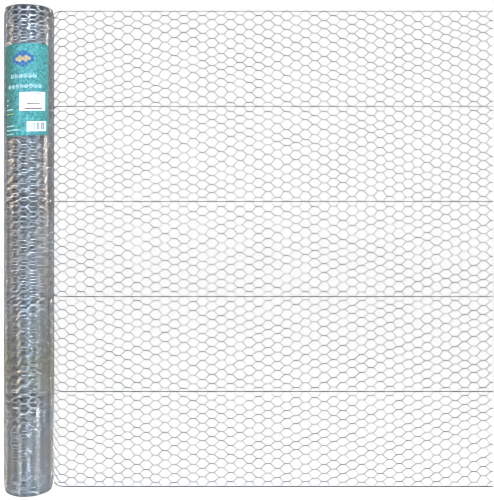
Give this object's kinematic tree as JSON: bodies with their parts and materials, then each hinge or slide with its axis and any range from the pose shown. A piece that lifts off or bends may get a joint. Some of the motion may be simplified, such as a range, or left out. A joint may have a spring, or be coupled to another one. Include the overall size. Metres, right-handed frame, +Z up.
{
  "type": "roll of hexagonal wire netting",
  "caption": "Standing roll of galvanised hexagonal wire netting with its outer end drawn out flat beside it.",
  "frame": {"origin": "on the roll's axis, at the foot of the roll, where it stands on the floor", "axes": "+Z up along the roll's axis; +X along the drawn-out netting, which lies in the plane Y = 0; +Y away from the viewer of the label"},
  "size_m": [1.877, 0.1943, 1.829],
  "materials": {
    "galvanised_wire": "dull bright zinc coating",
    "printed_paper": "printed, slightly glossy",
    "white_paper": "plain white adhesive label"
  },
  "bodies": {
    "root": {"roll": "galvanised_wire", "bay_1_length_1": "galvanised_wire", "bay_1_length_2": "galvanised_wire", "bay_1_length_3": "galvanised_wire", "bay_1_length_4": "galvanised_wire", "bay_1_length_5": "galvanised_wire", "bay_2_length_1": "galvanised_wire", "bay_2_length_2": "galvanised_wire", "bay_2_length_3": "galvanised_wire", "bay_2_length_4": "galvanised_wire", "bay_2_length_5": "galvanised_wire", "bay_3_length_1": "galvanised_wire", "bay_3_length_2": "galvanised_wire", "bay_3_length_3": "galvanised_wire", "bay_3_length_4": "galvanised_wire", "bay_3_length_5": "galvanised_wire", "bay_4_length_1": "galvanised_wire", "bay_4_length_2": "galvanised_wire", "bay_4_length_3": "galvanised_wire", "bay_4_length_4": "galvanised_wire", "bay_4_length_5": "galvanised_wire", "bay_5_length_1": "galvanised_wire", "bay_5_length_2": "galvanised_wire", "bay_5_length_3": "galvanised_wire", "bay_5_length_4": "galvanised_wire", "bay_5_length_5": "galvanised_wire", "netting_bend": "galvanised_wire", "label": "printed_paper", "sticker": "white_paper"}
  },
  "joints": []
}
